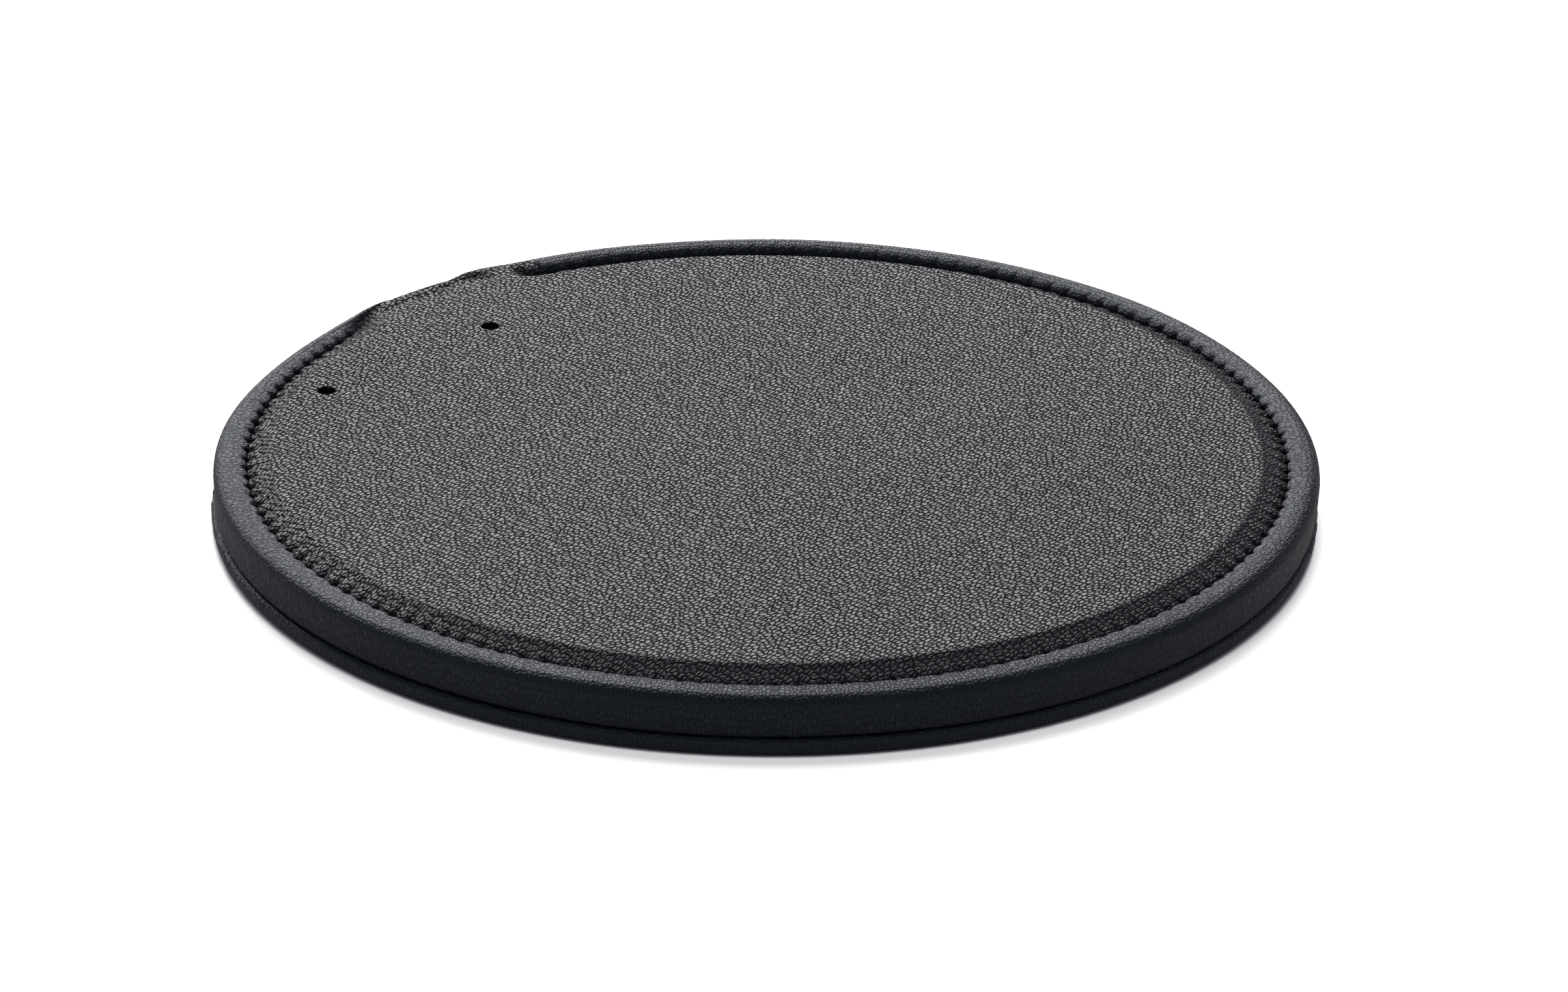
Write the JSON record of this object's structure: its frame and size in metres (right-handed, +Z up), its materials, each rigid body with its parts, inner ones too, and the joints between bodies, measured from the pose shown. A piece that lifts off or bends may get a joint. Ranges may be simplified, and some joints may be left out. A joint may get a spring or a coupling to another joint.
{
  "type": "desk mat",
  "caption": "Round padded leather desk mat with a sewn rolled rim, a wrapped base, two small vent holes and a shallow notch in its edge.",
  "frame": {"origin": "under the mat's centre, on the surface it lies on", "axes": "+Z up through the thickness; +X to the right and +Y to the back, with the notch at the back left, 133 degrees round from +X towards +Y"},
  "size_m": [0.2004, 0.2004, 0.0128],
  "materials": {
    "top_leather": "pebbled grain, satin black",
    "rim_leather": "fine grain stretched smooth, satin blue-black",
    "base_leather": "fine grain, dull black",
    "thread": "twisted sewing thread, black",
    "board": "plain fibreboard",
    "card": "plain grey card",
    "foam": "soft closed-cell foam"
  },
  "bodies": {
    "root": {"base_cover": "base_leather", "base_board": "board", "filler_card": "card", "core_board": "board", "top_foam": "foam", "rim_filler": "foam", "rim_band": "rim_leather", "top_panel": "top_leather", "needle_thread": "thread", "bobbin_thread": "thread"}
  },
  "joints": []
}
